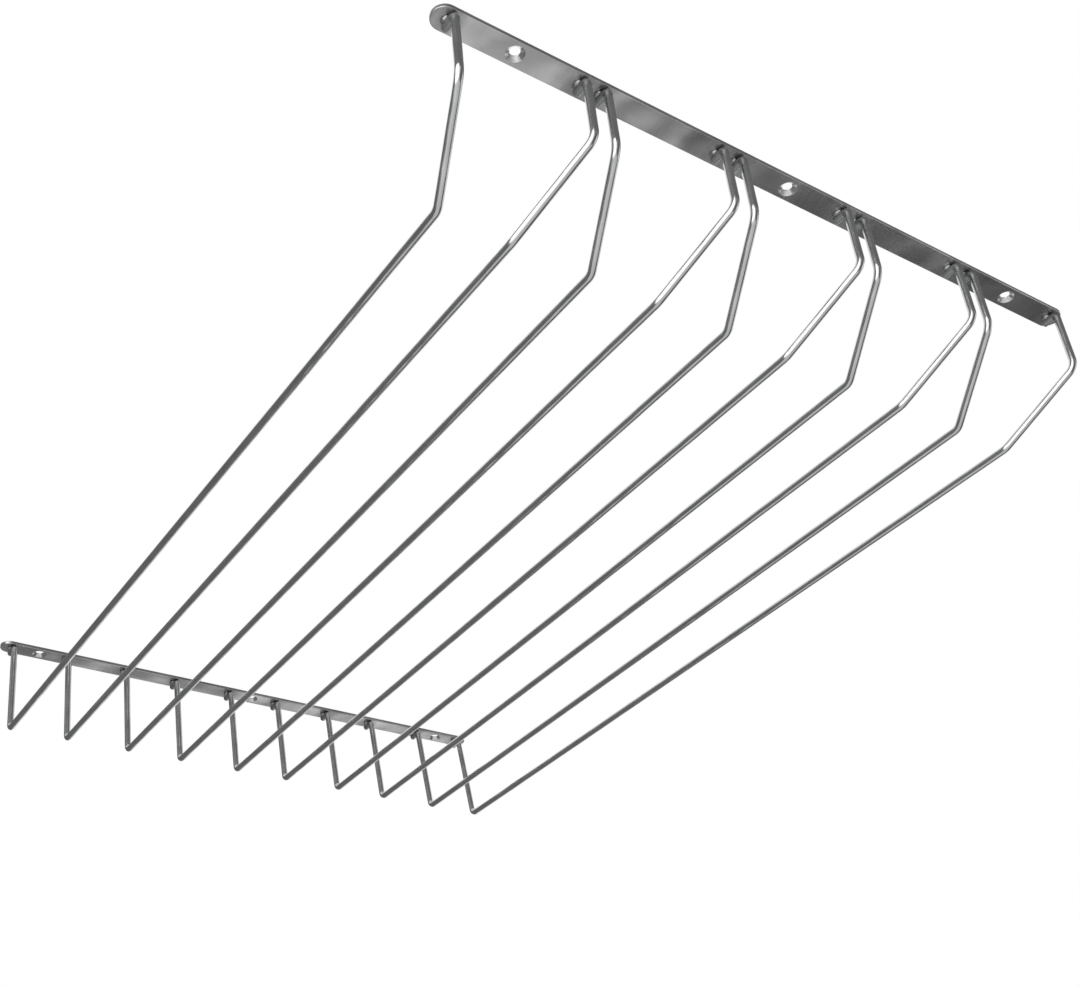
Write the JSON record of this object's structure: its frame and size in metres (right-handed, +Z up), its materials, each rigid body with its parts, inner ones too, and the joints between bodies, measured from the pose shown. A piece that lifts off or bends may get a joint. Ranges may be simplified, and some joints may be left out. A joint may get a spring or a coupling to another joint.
{
  "type": "hanging wine glass rack",
  "caption": "Under-shelf stemware rack: bent round wires hang between flat screw-up bars, forming open channels with flared front mouths that hold stemmed glasses by their feet.",
  "frame": {"origin": "on the mounting plane, which is the top face of both bars, midway between the bars and midway along them", "axes": "+X along the bars, to the right for someone who looks at the open front mouths from in front; +Y from the front bar to the rear bar, the way a glass slides in; +Z up, out of the bars' top faces into the shelf that the rack hangs under"},
  "size_m": [0.455, 0.688, 0.0828],
  "materials": {
    "bar_steel": "plated flat steel bar, polished to a soft sheen with faint streaks across it",
    "wire_chrome": "bright chrome plating on round steel wire, with fine drawing lines along it"
  },
  "bodies": {
    "root": {"front_bar": "bar_steel", "rear_bar": "bar_steel", "channel_1_left_wire": "wire_chrome", "channel_1_right_wire": "wire_chrome", "channel_2_left_wire": "wire_chrome", "channel_2_right_wire": "wire_chrome", "channel_3_left_wire": "wire_chrome", "channel_3_right_wire": "wire_chrome", "channel_4_left_wire": "wire_chrome", "channel_4_right_wire": "wire_chrome", "channel_5_left_wire": "wire_chrome", "channel_5_right_wire": "wire_chrome"}
  },
  "joints": []
}
